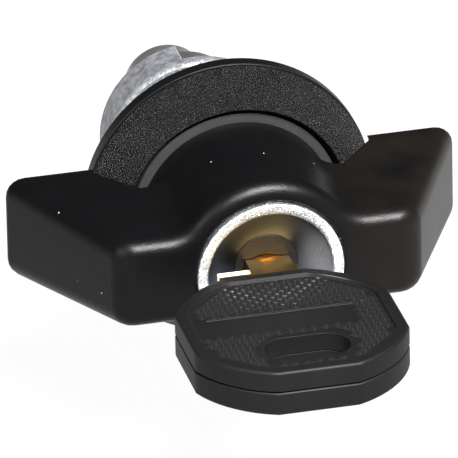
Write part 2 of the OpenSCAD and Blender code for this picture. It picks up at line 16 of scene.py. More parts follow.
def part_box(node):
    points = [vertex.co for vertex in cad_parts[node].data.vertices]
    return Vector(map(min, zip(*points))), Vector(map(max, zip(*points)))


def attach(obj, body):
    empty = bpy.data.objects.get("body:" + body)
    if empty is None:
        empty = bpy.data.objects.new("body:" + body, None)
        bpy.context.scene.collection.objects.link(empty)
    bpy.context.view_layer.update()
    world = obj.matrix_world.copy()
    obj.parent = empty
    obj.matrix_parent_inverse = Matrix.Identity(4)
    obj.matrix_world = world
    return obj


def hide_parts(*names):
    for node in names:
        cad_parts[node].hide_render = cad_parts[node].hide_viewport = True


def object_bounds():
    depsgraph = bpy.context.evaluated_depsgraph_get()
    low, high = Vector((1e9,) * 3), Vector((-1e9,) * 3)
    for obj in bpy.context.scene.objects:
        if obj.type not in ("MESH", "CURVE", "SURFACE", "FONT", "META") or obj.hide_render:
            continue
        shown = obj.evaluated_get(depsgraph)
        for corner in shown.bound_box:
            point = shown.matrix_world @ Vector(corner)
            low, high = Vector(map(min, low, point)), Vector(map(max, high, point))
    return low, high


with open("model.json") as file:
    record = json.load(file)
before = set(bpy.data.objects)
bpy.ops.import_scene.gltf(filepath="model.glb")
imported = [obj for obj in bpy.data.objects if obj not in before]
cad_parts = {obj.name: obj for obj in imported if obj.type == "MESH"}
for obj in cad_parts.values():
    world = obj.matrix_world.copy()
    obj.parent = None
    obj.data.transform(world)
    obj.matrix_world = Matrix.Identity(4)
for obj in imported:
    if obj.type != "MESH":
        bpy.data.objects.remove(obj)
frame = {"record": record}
cad_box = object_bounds()
MM = 0.001


# %% [markdown]
# ## The camera
# The camera stands well back and has a long lens, so that the wings hardly converge. It looks down by about
# 26 degrees from a little to the left, and it is rolled by one degree.

# %% Camera
AZIMUTH = math.radians(-13.29)
ELEVATION = math.radians(26.24)
ROLL = math.radians(-1.17)
CAMERA_PLACE = Vector((-281.6, -1193.5, 599.4)) * MM
SENSOR = 36.0
FOCAL_WIDTHS = 24.347        # focal length, counted in picture widths


def camera_axes():
    back = Vector((math.sin(AZIMUTH) * math.cos(ELEVATION), -math.cos(AZIMUTH) * math.cos(ELEVATION),
                   math.sin(ELEVATION)))
    right = Vector((math.cos(AZIMUTH), math.sin(AZIMUTH), 0))
    up = back.cross(right)
    turned_right = right * math.cos(ROLL) + up * math.sin(ROLL)
    turned_up = up * math.cos(ROLL) - right * math.sin(ROLL)
    return turned_right, turned_up, back


def add_camera():
    data = bpy.data.cameras.new("camera")
    data.sensor_width = SENSOR
    data.lens = SENSOR * FOCAL_WIDTHS
    data.clip_start = 0.05
    data.clip_end = 50
    camera = bpy.data.objects.new("camera", data)
    turn = Matrix(camera_axes()).transposed().to_4x4()
    camera.matrix_world = Matrix.Translation(CAMERA_PLACE) @ turn
    bpy.context.scene.collection.objects.link(camera)
    bpy.context.scene.camera = camera


add_camera()
print("camera at", [round(v, 3) for v in CAMERA_PLACE])


# %% [markdown]
# ## Helpers for making meshes
# Most parts of a lock are turned on a lathe or pressed from an outline. A pen draws the outline: it extrudes
# a point along each straight side and spins it round each arc. A lathe spins a profile round the lock axis.
# A bevel then softens every sharp edge, because no moulded or plated edge is truly sharp.

# %% The pen and the lathe
LOCK_AXIS = (0, 1, 0)


class Pen:
    """Draws a chain of edges in a bmesh, in millimetres."""

    def __init__(self, bm, start):
        self.bm = bm
        self.first = bmesh.ops.create_vert(bm, co=Vector(start) * MM)["vert"][0]
        self.tip = self.first

    def line(self, *points):
        for point in points:
            self.tip = bmesh.ops.extrude_vert_indiv(self.bm, verts=[self.tip])["verts"][0]
            self.tip.co = Vector(point) * MM
        return self

    def arc(self, centre, axis, degrees, steps=10):
        made = bmesh.ops.spin(self.bm, geom=[self.tip], cent=Vector(centre) * MM, axis=axis,
                              angle=math.radians(degrees), steps=steps)
        self.tip = [part for part in made["geom_last"] if isinstance(part, bmesh.types.BMVert)][0]
        return self


def piece_from(bm, name):
    mesh = bpy.data.meshes.new(name)
    bm.to_mesh(mesh)
    bm.free()
    piece = bpy.data.objects.new(name, mesh)
    bpy.context.scene.collection.objects.link(piece)
    return piece


def weld(bm):
    bmesh.ops.remove_doubles(bm, verts=bm.verts, dist=0.002 * MM)
    bmesh.ops.recalc_face_normals(bm, faces=bm.faces)


def lathe(profile, steps=128):
    """Spins a profile of (radius, y) points in millimetres round the lock axis.

    The profile may start and end on the axis."""
    points = [(r, y, 0) for r, y in profile]
    if profile[0][0] > 0:
        points.append(points[0])
    bm = bmesh.new()
    Pen(bm, points[0]).line(*points[1:])
    bmesh.ops.spin(bm, geom=bm.verts[:] + bm.edges[:], cent=(0, 0, 0), axis=LOCK_AXIS,
                   angle=2 * math.pi, steps=steps, use_merge=True)
    weld(bm)
    return bm


def soften(bm, width, sharper_than=25, segments=3, where=None):
    """Bevels the edges that turn by more than an angle."""
    edges = [e for e in bm.edges if len(e.link_faces) == 2
             and e.calc_face_angle(0) > math.radians(sharper_than) and (where is None or where(e))]
    bmesh.ops.bevel(bm, geom=edges, offset=width * MM, affect="EDGES", segments=segments, profile=0.5,
                    material=-1, clamp_overlap=True)


def lift_face(bm, face, shift):
    """Extrudes a face and moves its copy by a shift in millimetres."""
    copied = bmesh.ops.extrude_face_region(bm, geom=face)["geom"]
    moved = [v for v in copied if isinstance(v, bmesh.types.BMVert)]
    bmesh.ops.translate(bm, verts=moved, vec=Vector(shift) * MM)


def settle(piece):
    """Turns a piece's modifiers into its mesh."""
    graph = bpy.context.evaluated_depsgraph_get()
    mesh = bpy.data.meshes.new_from_object(piece.evaluated_get(graph))
    piece.modifiers.clear()
    piece.data = mesh


def cut(piece, *cutters):
    for cutter in cutters:
        change = piece.modifiers.new("cut", "BOOLEAN")
        change.operation = "DIFFERENCE"
        change.solver = "EXACT"
        change.object = cutter
        settle(piece)
        bpy.data.objects.remove(cutter)


def add_mesh(piece, bm):
    whole = bmesh.new()
    whole.from_mesh(piece.data)
    extra = bpy.data.meshes.new("extra")
    bm.to_mesh(extra)
    bm.free()
    whole.from_mesh(extra)
    whole.to_mesh(piece.data)
    whole.free()
    bpy.data.meshes.remove(extra)


def finish(piece, body, slot, *nodes, smooth=30):
    """Shades a piece, keeps its flats flat, and names its body and the nodes it stands for. The slot is not
    used.
    """
    piece.data.polygons.foreach_set("use_smooth", [True] * len(piece.data.polygons))
    piece.data.set_sharp_from_angle(angle=math.radians(smooth))
    even = piece.modifiers.new("even", "WEIGHTED_NORMAL")
    even.keep_sharp = True
    settle(piece)
    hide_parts(*nodes)
    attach(piece, body)
    print(piece.name, len(piece.data.polygons), "faces")
    return piece


def size_of(node):
    """A node's lowest and highest corner in millimetres."""
    low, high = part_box(node)
    return Vector(low) / MM, Vector(high) / MM


# %% [markdown]
# ## The wing handle
# The handle is one moulding of black nylon. Its front outline is a round boss with a wing on each side, and a
# hollow flare joins them. The outline grows towards the back, so it is drawn twice and bridged, as a loft is.
# Beveling the front loop gives the soft fillet that catches the light all round the boss.

# %% The handle's outline
handle_low, handle_high = size_of("wing_handle")
FRONT_Y = handle_low.y
BACK_Y = handle_high.y
WING_END_BACK = handle_high.x + 0.38     # where the end face and the back would meet without their bevel
HUB_R = handle_high.z
WING_END_FRONT = 18.5
WING_FRONT = 5.7             # half of the wing's height at the front
WING_BACK = 6.7
BOSS_R = 11.6
FLARE_R = 5.0
WING_CORNER = 2.5            # radius of the wing's corners
FRONT_FILLET = 2.0
BACK_FILLET = 1.2
TURNING_EDGE = 40            # degrees by which the moulding turns at a rim


def handle_outline(bm, y, wing_end, wing_z, boss_r):
    centre_z = wing_z + FLARE_R
    centre_x = math.sqrt((boss_r + FLARE_R) ** 2 - centre_z ** 2)
    lean = math.degrees(math.atan2(centre_x, centre_z))
    pen = Pen(bm, (wing_end, y, 0))
    pen.line((wing_end, y, wing_z - WING_CORNER))
    pen.arc((wing_end - WING_CORNER, y, wing_z - WING_CORNER), (0, -1, 0), 90, steps=5)
    pen.line((centre_x, y, wing_z))
    pen.arc((centre_x, y, centre_z), (0, 1, 0), lean, steps=12)
    pen.arc((0, y, 0), (0, -1, 0), lean, steps=18)
    pen.tip.co.x = 0
    for axis in ("X", "Z"):
        bmesh.ops.mirror(bm, geom=in_plane(bm.verts, y) + in_plane(bm.edges, y), matrix=Matrix(),
                         merge_dist=0.001 * MM, axis=axis)
    return in_plane(bm.edges, y)


def in_plane(parts, y):
    """The vertices or edges that lie at one distance along the lock."""
    def flat(part):
        verts = part.verts if isinstance(part, bmesh.types.BMEdge) else [part]
        return all(abs(v.co.y / MM - y) < 1e-4 for v in verts)
    return [part for part in parts if flat(part)]


def sharp_rims(bm):
    return [e for e in bm.edges if e.calc_face_angle(0) > math.radians(TURNING_EDGE)]


def handle_solid():
    bm = bmesh.new()
    hub_back = BOSS_R + (HUB_R - BOSS_R) * (BACK_Y - FRONT_Y) / (HUB_BACK_Y - FRONT_Y)
    front = handle_outline(bm, FRONT_Y, WING_END_FRONT, WING_FRONT, BOSS_R)
    back = handle_outline(bm, BACK_Y, WING_END_BACK, WING_BACK, hub_back)
    bmesh.ops.bridge_loops(bm, edges=front + back)
    bmesh.ops.contextual_create(bm, geom=front)
    bmesh.ops.contextual_create(bm, geom=back)
    weld(bm)
    front_rim = [e for e in sharp_rims(bm) if e.verts[0].co.y < (FRONT_Y + 1) * MM]
    bmesh.ops.bevel(bm, geom=front_rim, offset=FRONT_FILLET * MM, affect="EDGES", segments=8, profile=0.5,
                    material=-1)
    bmesh.ops.bevel(bm, geom=sharp_rims(bm), offset=BACK_FILLET * MM, affect="EDGES", segments=5,
                    profile=0.5, material=-1)
    return piece_from(bm, "handle_moulding")


# %% [markdown]
# The back of the handle is hollow. A spun cutter clears the rosette's cone and leaves the hub standing in
# the middle, and four boxes hollow the wings out, with a rib between each pair. A stepped bore takes the
# cylinder.

# %% Cutting the handle
flange_low, flange_high = size_of("housing")
ring_low = size_of("friction_ring")[0]
cap_low, cap_high = size_of("chrome_cap")
spindle_low = size_of("spindle")[0]
rosette_low, rosette_high = size_of("rosette")
barrel_high = size_of("cylinder_barrel")[1]
ROSETTE_R = rosette_high.x
HUB_BACK_Y = ring_low.y - 0.1
NECK_R = 8.42
NECK_END_Y = spindle_low.y - 0.1
CLEAR_FLOOR_Y = rosette_low.y - 2.4
CLEAR_IN_R = 14.2
CLEAR_OUT_R = ROSETTE_R + 0.5
BORE_R = barrel_high.z - 0.9          # the barrel's flange is wider than the bore by this


def clearance_cutter():
    rise = (CLEAR_OUT_R - CLEAR_IN_R) * 1.17
    return piece_from(lathe([
        (0, NECK_END_Y), (NECK_R, NECK_END_Y), (NECK_R, HUB_BACK_Y), (HUB_R - 0.25, HUB_BACK_Y),
        (HUB_R, HUB_BACK_Y - 0.25), (HUB_R, CLEAR_FLOOR_Y), (CLEAR_IN_R, CLEAR_FLOOR_Y),
        (CLEAR_OUT_R, CLEAR_FLOOR_Y + rise), (CLEAR_OUT_R, 2), (0, 2)
    ]), "clearance")


def bore_cutter():
    return piece_from(lathe([
        (0, FRONT_Y - 5), (cap_high.x + 0.75, FRONT_Y - 5), (cap_high.x + 0.75, FRONT_Y - 0.35),
        (cap_high.x + 0.05, FRONT_Y + 0.3), (cap_high.x + 0.05, cap_high.y + 0.05),
        (cap_high.x - 0.5, cap_high.y + 0.05), (cap_high.x - 0.5, cap_high.y + 0.75),
        (BORE_R, cap_high.y + 0.75), (BORE_R, 2), (0, 2)
    ]), "bore")


def pocket_cutter(side, level):
    wall = 2.0
    rib = 0.7
    floor_y = BACK_Y - 9.5
    bm = bmesh.new()
    bmesh.ops.create_cube(bm, size=MM)
    for vert in bm.verts:
        outer = vert.co.x > 0
        deep = vert.co.y < 0
        x = (WING_END_BACK - wall - (4.4 if deep else 0)) if outer else CLEAR_OUT_R + wall
        y = floor_y if deep else 1
        z = rib if vert.co.z < 0 else WING_BACK - wall - (0.4 if deep else 0)
        vert.co = Vector((side * x, y, level * z)) * MM
    bm.normal_update()
    bmesh.ops.recalc_face_normals(bm, faces=bm.faces)
    soften(bm, 0.5, segments=2)
    return piece_from(bm, "pocket")


handle = handle_solid()
cut(handle, clearance_cutter(), bore_cutter())
cut(handle, *[pocket_cutter(side, level) for side in (-1, 1) for level in (-1, 1)])
finish(handle, "handle", "handle_black", "wing_handle")


# %% [markdown]
# ## The rosette
# The rosette is a shallow cone with a plain rim, and a lip where it dips towards the hub. It is turned from
# one profile. Its edges are only slightly broken, as they are on a sharp mould, and its grain comes from the
# material.

# %% Rosette
RIM = 1.6
LIP_R = 13.9
SEAL_IN_R = 13.5
SEAL_OUT_R = 16.4


def make_rosette():
    lip_y = rosette_low.y
    hole_r = flange_high.x
    bore_r = 11.45
    bm = lathe([
        (bore_r, 0), (SEAL_IN_R, 0), (SEAL_IN_R, -1), (SEAL_OUT_R + 0.05, -1), (SEAL_OUT_R + 0.05, 0),
        (ROSETTE_R, 0), (ROSETTE_R, -RIM), (LIP_R, lip_y), (hole_r + 0.1, lip_y + 1.4), (hole_r + 0.1, -2),
        (bore_r, -2)
    ], steps=160)
    soften(bm, 0.28, where=lambda e: min(v.co.y for v in e.verts) < -3 * MM)
    return finish(piece_from(bm, "rosette_plate"), "lock_body", "rosette_black", "rosette")


make_rosette()


# %% [markdown]
# ## The housing
# The housing is a zinc die casting. Its front half is machined and carries the thread for the nut, and its
# rear half is left as cast. A shallow groove parts the two. The rear rim has the notch for the stop washer's
# tab, a round hole on top takes the dowel that holds the spindle, and a pocket in the bore takes the bolt.

# %% Housing
HOUSING_R = 11.35
HOUSING_END = flange_high.y
GROOVE_Y = 13.4
BEARING_R = 6.5
FRONT_BORE_R = 8.5
THREAD_PITCH = 1.0
THREAD_START = 0.6
THREAD_TURNS = 7
NOTCH_START = -8             # degrees, clockwise from the top as seen from the key side
NOTCH_END = 122
NOTCH_DEPTH = 4.2
NOTCH_REACH = 16             # well outside the housing
BOLT_W = 4
BOLT_DROP = 2.1
BOLT_ROOM = 0.25
dowel_low, dowel_high = size_of("retaining_dowel")
DOWEL_Y = (dowel_low.y + dowel_high.y) / 2
DOWEL_HOLE_R = (dowel_high.y - dowel_low.y) / 2 + 0.12


def housing_turning():
    core_r = HOUSING_R - 0.5
    thread_end = THREAD_START + (THREAD_TURNS + 0.6) * THREAD_PITCH
    bm = lathe([
        (FRONT_BORE_R, flange_low.y), (flange_high.x, flange_low.y), (flange_high.x, -2), (core_r, -2),
        (core_r, thread_end), (HOUSING_R, thread_end + 0.5), (HOUSING_R, GROOVE_Y - 0.35),
        (HOUSING_R - 0.45, GROOVE_Y), (HOUSING_R - 0.45, GROOVE_Y + 0.12), (HOUSING_R - 0.12, GROOVE_Y + 0.5),
        (HOUSING_R, GROOVE_Y + 1.1), (HOUSING_R, HOUSING_END), (BEARING_R, HOUSING_END), (BEARING_R, 6.2),
        (FRONT_BORE_R, 6.2)
    ], steps=160)
    rear = (HOUSING_END - 0.1) * MM
    soften(bm, 0.35, sharper_than=60, where=lambda e: min(v.co.y for v in e.verts) > rear)
    return bm


def thread_ridge():
    """One tooth of the thread, spun up the housing as a screw."""
    bm = bmesh.new()
    half = THREAD_PITCH * 0.48
    root_r = HOUSING_R - 0.6
    pen = Pen(bm, (root_r, THREAD_START - half, 0))
    pen.line((HOUSING_R, THREAD_START - 0.06, 0), (HOUSING_R, THREAD_START + 0.06, 0),
             (root_r, THREAD_START + half, 0), (root_r, THREAD_START - half, 0))
    bmesh.ops.remove_doubles(bm, verts=bm.verts, dist=0.002 * MM)
    steps = 72 * THREAD_TURNS
    bmesh.ops.spin(bm, geom=bm.verts[:] + bm.edges[:], cent=(0, 0, 0), axis=LOCK_AXIS,
                   dvec=(0, THREAD_PITCH * MM * THREAD_TURNS / steps, 0), angle=2 * math.pi * THREAD_TURNS,
                   steps=steps)
    ends = [e for e in bm.edges if e.is_boundary]
    bmesh.ops.holes_fill(bm, edges=ends, sides=8)
    weld(bm)
    return bm


def notch_cutter():
    """A sector from just before the top, clockwise as seen from the key side."""
    floor_y = HOUSING_END - NOTCH_DEPTH
    span = NOTCH_END - NOTCH_START
    angles = [math.radians(NOTCH_START + span * i / 6) for i in range(7)]
    rim = [(NOTCH_REACH * math.sin(a), NOTCH_REACH * math.cos(a)) for a in angles]
    bm = bmesh.new()
    pen = Pen(bm, (0, floor_y, 0))
    pen.line(*[(x, floor_y, z) for x, z in rim], (0, floor_y, 0))
    bmesh.ops.remove_doubles(bm, verts=bm.verts, dist=0.002 * MM)
    face = bmesh.ops.contextual_create(bm, geom=bm.edges[:])["faces"]
    lift_face(bm, face, (0, 8, 0))
    weld(bm)
    return piece_from(bm, "notch")


def dowel_hole_cutter():
    bm = bmesh.new()
    bmesh.ops.create_cone(bm, cap_ends=True, segments=64, radius1=DOWEL_HOLE_R * MM,
                          radius2=DOWEL_HOLE_R * MM, depth=12 * MM)
    bmesh.ops.translate(bm, verts=bm.verts, vec=Vector((0, DOWEL_Y, 11)) * MM)
    weld(bm)
    return piece_from(bm, "dowel_hole")


def bolt_pocket_cutter():
    """The pocket under the bore that the locking bolt drops into when the key turns."""
    low, high = size_of("locking_bolt")
    height = BOLT_W + BOLT_DROP
    middle = Vector((0, (low.y + high.y) / 2, low.z - BOLT_DROP + height / 2))
    bm = bmesh.new()
    bmesh.ops.create_cube(bm, size=MM)
    bmesh.ops.scale(bm, verts=bm.verts, vec=(BOLT_W + 2 * BOLT_ROOM, high.y - low.y + 2 * BOLT_ROOM, height))
    bmesh.ops.translate(bm, verts=bm.verts, vec=middle * MM)
    return piece_from(bm, "bolt_pocket")


housing = piece_from(housing_turning(), "housing_casting")
cut(housing, notch_cutter(), dowel_hole_cutter(), bolt_pocket_cutter())
add_mesh(housing, thread_ridge())
finish(housing, "lock_body", "cast_zinc", "housing", smooth=35)


# %% [markdown]
# ## The chrome cap
# The cap is pressed from thin sheet. Its rim is a flat ring with rounded edges, and inside it a smooth dish
# leads the key to the plug. The dish is an arc spun round the axis, because a curved mirror gathers the light
# in bands and a straight cone doesn't.

# %% Chrome cap
plug_low = size_of("plug")[0]


def make_cap():
    rim_y = cap_low.y
    dish_r = cap_high.x - 1.2
    hole_r = 3.95
    dish_y = rim_y + 2.6
    wall = 0.5
    sag = 0.55
    chord = math.hypot(dish_r - hole_r, dish_y - rim_y - 0.1)
    dish = []
    for i in range(11):
        t = i / 10
        r = dish_r + (hole_r - dish_r) * t
        y = rim_y + 0.1 + (dish_y - rim_y - 0.1) * t
        bulge = sag * 4 * t * (1 - t)
        dish.append((r + bulge * (dish_y - rim_y) / chord * 0.9, y + bulge * (dish_r - hole_r) / chord * 0.5))
    skirt_y = cap_high.y
    bm = lathe([
        (cap_high.x, skirt_y), (cap_high.x, rim_y), *dish, (hole_r, dish_y + wall),
        (cap_high.x - wall - 0.1, rim_y + 1.5), (cap_high.x - wall - 0.1, skirt_y)
    ], steps=160)
    front = (rim_y + 0.5) * MM
    soften(bm, 0.25, sharper_than=30, segments=4, where=lambda e: max(v.co.y for v in e.verts) < front)
    return finish(piece_from(bm, "cap_pressing"), "handle", "chrome_sheet", "chrome_cap", smooth=40)


make_cap()


# %% [markdown]
# ## The key's bow
# Two black shells are pegged together round the brass tang. The outline is a disc with four flats. Each
# outer face has a border, and inside it a field of tiny pyramids for grip, with a plain band across the
# middle and a slot for the key ring. The pyramids are four-sided cones set in rows that are shifted by half
# a step.

# %% Bow shells
upper_low, upper_high = size_of("key_bow_upper")
lower_low = size_of("key_bow_lower")[0]
BOW = Vector(((upper_low.x + upper_high.x) / 2, (upper_low.y + upper_high.y) / 2, 0))
BOW_HALF_X = (upper_high.x - upper_low.x) / 2
BOW_HALF_Y = (upper_high.y - upper_low.y) / 2
BOW_R = 14.1
BORDER = 1.5
SUNK = 0.4
SLOT = BOW + Vector((0.2, -6.6, 0))
SLOT_HALF = 5.3
SLOT_R = 3.0
BAND_NEAR = BOW.y + 3.15     # the plain band that crosses the face
BAND_FAR = BOW.y - 1.9
BAND_END = BOW.x + 8.4
LINE_LENGTH = 19.5
LINE_WIDTH = 0.24
PYRAMID_STEP = 0.72
PYRAMID_TOP = 0.27
PYRAMID_DEPTH = 0.38
FIELD_MARGIN = BORDER + 0.75
TANG_HALF = 6.6
NECK_HALF = 5.0
TANG_ROOM = 1.0
SLOT_REACH = 9.0             # the slot's cutter runs well past both faces


def bow_face(bm):
    """The bow's outline round the origin, as one face."""
    lift = math.degrees(math.asin(BOW_HALF_Y / BOW_R))
    drop = math.degrees(math.acos(BOW_HALF_X / BOW_R))
    pen = Pen(bm, (BOW_HALF_X, 0, 0))
    pen.line((BOW_HALF_X, BOW_R * math.sin(math.radians(drop)), 0))
    pen.arc((0, 0, 0), (0, 0, 1), lift - drop, steps=12)
    pen.line((0, BOW_HALF_Y, 0))
    for axis in ("X", "Y"):
        bmesh.ops.mirror(bm, geom=bm.verts[:] + bm.edges[:], matrix=Matrix(), merge_dist=0.001 * MM,
                         axis=axis)
    return bmesh.ops.contextual_create(bm, geom=bm.edges[:])["faces"]


def slot_cutter():
    bm = bmesh.new()
    low = -SLOT_REACH
    straight = SLOT_HALF - SLOT_R
    r = SLOT_R
    pen = Pen(bm, (straight, -r, low))
    pen.arc((straight, 0, low), (0, 0, 1), 180, steps=16)
    pen.line((-straight, r, low))
    pen.arc((-straight, 0, low), (0, 0, 1), 180, steps=16)
    pen.line((straight, -r, low))
    bmesh.ops.remove_doubles(bm, verts=bm.verts, dist=0.002 * MM)
    face = bmesh.ops.contextual_create(bm, geom=bm.edges[:])["faces"]
    lift_face(bm, face, (0, 0, 2 * SLOT_REACH))
    bmesh.ops.translate(bm, verts=bm.verts, vec=SLOT * MM)
    weld(bm)
    return piece_from(bm, "slot")


def box_cutter(half_x, y0, y1, half_z):
    bm = bmesh.new()
    bmesh.ops.create_cube(bm, size=MM)
    bmesh.ops.scale(bm, verts=bm.verts, vec=(2 * half_x, y1 - y0, 2 * half_z))
    bmesh.ops.translate(bm, verts=bm.verts, vec=Vector((BOW.x, (y0 + y1) / 2, 0)) * MM)
    return piece_from(bm, "room")


def tang_cutters():
    """Room for the brass tang and for the neck in front of it."""
    blade_low = size_of("key_blade")[0]
    tang = box_cutter(TANG_HALF, blade_low.y - 0.1, upper_high.y - 0.5, TANG_ROOM)
    neck = box_cutter(NECK_HALF, upper_high.y - 1, upper_high.y + 2, TANG_ROOM)
    return tang, neck


def shell(name, height, seam):
    """One shell, made facing up: its outside face is at height and its inside face at the seam."""
    bm = bmesh.new()
    face = bow_face(bm)
    bmesh.ops.translate(bm, verts=bm.verts, vec=(0, 0, seam * MM))
    lift_face(bm, face, (0, 0, height - seam))
    weld(bm)
    above_seam = seam * MM + 1e-5
    soften(bm, 0.42, sharper_than=60, segments=3,
           where=lambda e: min(v.co.z for v in e.verts) > above_seam)
    soften(bm, 0.12, sharper_than=60, segments=1)
    crown = [f for f in bm.faces if f.normal.z > 0.9 and f.calc_center_median().z > (height - 0.01) * MM]
    bmesh.ops.inset_region(bm, faces=crown, thickness=(BORDER - 0.45) * MM, use_even_offset=True)
    bmesh.ops.inset_region(bm, faces=crown, thickness=0.22 * MM, depth=-SUNK * MM, use_even_offset=True)
    bmesh.ops.translate(bm, verts=bm.verts, vec=BOW * MM)
    return piece_from(bm, name)


def in_field(x, y):
    """True where a pyramid stands: inside the border, clear of the slot and the plain band."""
    from_bow = Vector((x - BOW.x, y - BOW.y))
    if from_bow.length > BOW_R - FIELD_MARGIN:
        return False
    if abs(from_bow.x) > BOW_HALF_X - FIELD_MARGIN or abs(from_bow.y) > BOW_HALF_Y - FIELD_MARGIN:
        return False
    if BAND_FAR < y < BAND_NEAR + 0.5 and x < BAND_END:
        return False
    along = max(abs(x - SLOT.x) - (SLOT_HALF - SLOT_R), 0)
    return math.hypot(along, y - SLOT.y) > SLOT_R + 1.15


def pyramids(height):
    bm = bmesh.new()
    for row in range(-24, 25):
        for place in range(-12, 13):
            x = BOW.x + (2 * place + row % 2) * PYRAMID_STEP
            y = BOW.y + row * PYRAMID_STEP
            if in_field(x, y):
                made = bmesh.ops.create_cone(bm, segments=4, radius1=PYRAMID_STEP * MM, cap_ends=True,
                                             radius2=PYRAMID_TOP * MM, depth=PYRAMID_DEPTH * MM)["verts"]
                bmesh.ops.translate(bm, verts=made, vec=Vector((x, y, height - SUNK + 0.15)) * MM)
    return bm


def band_line(bm, height):
    """The thin raised line along the plain band."""
    made = bmesh.ops.create_cube(bm, size=MM)["verts"]
    bmesh.ops.scale(bm, verts=made, vec=(LINE_LENGTH, LINE_WIDTH, 0.3))
    bmesh.ops.translate(bm, verts=made, vec=Vector((BOW.x, BAND_NEAR, height - SUNK + 0.06)) * MM)


def make_shells():
    for node, height, seam, flip in (("key_bow_upper", upper_high.z, 0, False),
                                     ("key_bow_lower", -lower_low.z, 0.15, True)):
        piece = shell(node + "_shell", height, seam)
        cut(piece, slot_cutter(), *tang_cutters())
        field = pyramids(height)
        band_line(field, height)
        add_mesh(piece, field)
        if flip:
            bm = bmesh.new()
            bm.from_mesh(piece.data)
            bmesh.ops.scale(bm, verts=bm.verts, vec=(1, 1, -1))
            bmesh.ops.reverse_faces(bm, faces=bm.faces)
            bm.to_mesh(piece.data)
            bm.free()
        finish(piece, "key", "key_black", node, smooth=32)


make_shells()


# %% [markdown]
# ## The wafer springs
# Each wafer is pushed by a coil of thin wire. A small circle is spun round the spring's own axis while it
# moves along it, which is how a screw thread is made too.

# %% Springs
springs_low, springs_high = size_of("wafer_springs")


def make_springs():
    wire = 0.13
    coil_r = (springs_high.z - springs_low.z) / 2 - wire
    turns = 5
    length = springs_high.x - springs_low.x - 2 * wire
    middle_z = (springs_high.z + springs_low.z) / 2
    first_y = springs_low.y + coil_r + wire
    last_y = springs_high.y - coil_r - wire
    bm = bmesh.new()
    for i in range(5):
        y = first_y + (last_y - first_y) * i / 4
        ring = bmesh.ops.create_circle(bm, segments=8, radius=wire * MM)["verts"]
        bmesh.ops.rotate(bm, verts=ring, cent=(0, 0, 0), matrix=Matrix.Rotation(math.pi / 2, 3, "X"))
        bmesh.ops.translate(bm, verts=ring, vec=Vector((springs_low.x + wire, y, middle_z + coil_r)) * MM)
        steps = 16 * turns
        edges = list({e for v in ring for e in v.link_edges})
        bmesh.ops.spin(bm, geom=ring + edges, cent=Vector((0, y, middle_z)) * MM, axis=(1, 0, 0),
                       dvec=(length * MM / steps, 0, 0), angle=2 * math.pi * turns, steps=steps)
    bmesh.ops.holes_fill(bm, edges=[e for e in bm.edges if e.is_boundary], sides=10)
    weld(bm)
    return finish(piece_from(bm, "spring_coils"), "plug", "spring_wire", "wafer_springs", smooth=60)


make_springs()


# %% [markdown]
# ## Shader maths in Python
# A material is a graph of nodes. Writing the graph by hand is slow to read, so a socket is wrapped in a small
# class that adds a Math node for each operator. A formula in Python then reads as a formula does on paper.

# %% Wrapped sockets
class Value:
    """A number that varies over the surface."""

    def __init__(self, tree, socket):
        self.tree = tree
        self.socket = socket

    def maths(self, operation, *inputs):
        node = self.tree.nodes.new("ShaderNodeMath")
        node.operation = operation
        for slot, given in zip(node.inputs, inputs):
            if isinstance(given, Value):
                self.tree.links.new(given.socket, slot)
            else:
                slot.default_value = given
        return Value(self.tree, node.outputs[0])

    def __add__(self, other):
        return self.maths("ADD", self, other)

    def __mul__(self, other):
        return self.maths("MULTIPLY", self, other)

    def __sub__(self, other):
        return self.maths("SUBTRACT", self, other)

    def __rsub__(self, other):
        return self.maths("SUBTRACT", other, self)

    __radd__ = __add__
    __rmul__ = __mul__

    def step(self, low, high):
        """Rises smoothly from 0 at low to 1 at high."""
        node = self.tree.nodes.new("ShaderNodeMapRange")
        node.interpolation_type = "SMOOTHSTEP"
        self.tree.links.new(self.socket, node.inputs["Value"])
        node.inputs["From Min"].default_value = low
        node.inputs["From Max"].default_value = high
        return Value(self.tree, node.outputs["Result"])

    def root(self):
        return self.maths("SQRT", self)


